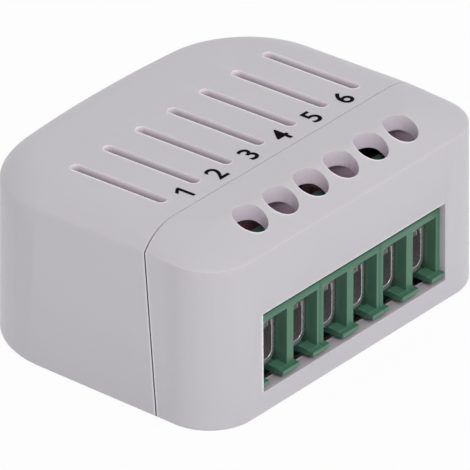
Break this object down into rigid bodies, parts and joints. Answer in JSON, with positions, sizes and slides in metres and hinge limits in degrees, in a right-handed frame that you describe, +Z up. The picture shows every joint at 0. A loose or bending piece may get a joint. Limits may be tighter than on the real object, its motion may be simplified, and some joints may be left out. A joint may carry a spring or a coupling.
{
  "type": "shutter control module",
  "caption": "Flush-box shutter control module: pillow-topped grey casing, sloping front with screwdriver holes over a row of green rising-clamp terminals.",
  "frame": {"origin": "middle of the base", "axes": "+X along the terminal row, to the right when the terminals face the viewer; +Y from the terminal face to the back; +Z up from the base"},
  "size_m": [0.046, 0.0366, 0.0215],
  "materials": {
    "casing_grey": "fine-grained moulded light grey plastic",
    "terminal_green": "smooth moulded green plastic",
    "clamp_nickel": "nickel-plated, formed strip",
    "contact_tin": "tin-plated strip",
    "screw_steel": "zinc-plated, turned",
    "board_green": "solder-masked glass-fibre laminate",
    "relay_black": "sealed moulded cover",
    "ferrite_grey": "sintered ferrite",
    "coil_tape_yellow": "polyester tape over the winding",
    "can_sleeve_blue": "shrunk sleeve over an aluminium can",
    "film_box_yellow": "potted box",
    "varistor_blue": "dipped coating",
    "resistor_grey": "flameproof coating",
    "chip_black": "moulded epoxy",
    "shield_tin": "tinned sheet"
  },
  "bodies": {
    "casing": {"rear_shell": "casing_grey", "front_cap": "casing_grey", "main_board": "board_green", "relay_up": "relay_black", "relay_down": "relay_black", "transformer_core": "ferrite_grey", "transformer_coil": "coil_tape_yellow", "input_capacitor": "can_sleeve_blue", "output_capacitor": "can_sleeve_blue", "film_capacitor": "film_box_yellow", "varistor": "varistor_blue", "fusible_resistor": "resistor_grey", "bridge_rectifier": "chip_black", "radio_board": "board_green", "radio_shield": "shield_tin", "terminal_block_left": "terminal_green", "terminal_block_middle": "terminal_green", "terminal_block_right": "terminal_green", "contact_bar_1": "contact_tin", "contact_bar_2": "contact_tin", "contact_bar_3": "contact_tin", "contact_bar_4": "contact_tin", "contact_bar_5": "contact_tin", "contact_bar_6": "contact_tin"},
    "screw_1": {"clamp_screw_1": "screw_steel"},
    "clamp_1": {"wire_clamp_1": "clamp_nickel"},
    "screw_2": {"clamp_screw_2": "screw_steel"},
    "clamp_2": {"wire_clamp_2": "clamp_nickel"},
    "screw_3": {"clamp_screw_3": "screw_steel"},
    "clamp_3": {"wire_clamp_3": "clamp_nickel"},
    "screw_4": {"clamp_screw_4": "screw_steel"},
    "clamp_4": {"wire_clamp_4": "clamp_nickel"},
    "screw_5": {"clamp_screw_5": "screw_steel"},
    "clamp_5": {"wire_clamp_5": "clamp_nickel"},
    "screw_6": {"clamp_screw_6": "screw_steel"},
    "clamp_6": {"wire_clamp_6": "clamp_nickel"}
  },
  "joints": [
    {"name": "screw_1_turn", "type": "hinge", "parent": "casing", "child": "screw_1", "pos_m": [-0.0125, -0.01415, 0.01315], "axis": [0, 0, -1], "range_deg": [0, 2160]},
    {"name": "clamp_1_lift", "type": "slide", "parent": "casing", "child": "clamp_1", "axis": [0, 0, 1], "range_m": [0, 0.0027]},
    {"name": "screw_2_turn", "type": "hinge", "parent": "casing", "child": "screw_2", "pos_m": [-0.0075, -0.01415, 0.01315], "axis": [0, 0, -1], "range_deg": [0, 2160]},
    {"name": "clamp_2_lift", "type": "slide", "parent": "casing", "child": "clamp_2", "axis": [0, 0, 1], "range_m": [0, 0.0027]},
    {"name": "screw_3_turn", "type": "hinge", "parent": "casing", "child": "screw_3", "pos_m": [-0.0025, -0.01415, 0.01315], "axis": [0, 0, -1], "range_deg": [0, 2160]},
    {"name": "clamp_3_lift", "type": "slide", "parent": "casing", "child": "clamp_3", "axis": [0, 0, 1], "range_m": [0, 0.0027]},
    {"name": "screw_4_turn", "type": "hinge", "parent": "casing", "child": "screw_4", "pos_m": [0.0025, -0.01415, 0.01315], "axis": [0, 0, -1], "range_deg": [0, 2160]},
    {"name": "clamp_4_lift", "type": "slide", "parent": "casing", "child": "clamp_4", "axis": [0, 0, 1], "range_m": [0, 0.0027]},
    {"name": "screw_5_turn", "type": "hinge", "parent": "casing", "child": "screw_5", "pos_m": [0.0075, -0.01415, 0.01315], "axis": [0, 0, -1], "range_deg": [0, 2160]},
    {"name": "clamp_5_lift", "type": "slide", "parent": "casing", "child": "clamp_5", "axis": [0, 0, 1], "range_m": [0, 0.0027]},
    {"name": "screw_6_turn", "type": "hinge", "parent": "casing", "child": "screw_6", "pos_m": [0.0125, -0.01415, 0.01315], "axis": [0, 0, -1], "range_deg": [0, 2160]},
    {"name": "clamp_6_lift", "type": "slide", "parent": "casing", "child": "clamp_6", "axis": [0, 0, 1], "range_m": [0, 0.0027]}
  ],
  "couplings": [
    {"joint": "screw_1_turn", "follows": "clamp_1_lift", "rad_per_m": 13962},
    {"joint": "screw_2_turn", "follows": "clamp_2_lift", "rad_per_m": 13962},
    {"joint": "screw_3_turn", "follows": "clamp_3_lift", "rad_per_m": 13962},
    {"joint": "screw_4_turn", "follows": "clamp_4_lift", "rad_per_m": 13962},
    {"joint": "screw_5_turn", "follows": "clamp_5_lift", "rad_per_m": 13962},
    {"joint": "screw_6_turn", "follows": "clamp_6_lift", "rad_per_m": 13962}
  ]
}
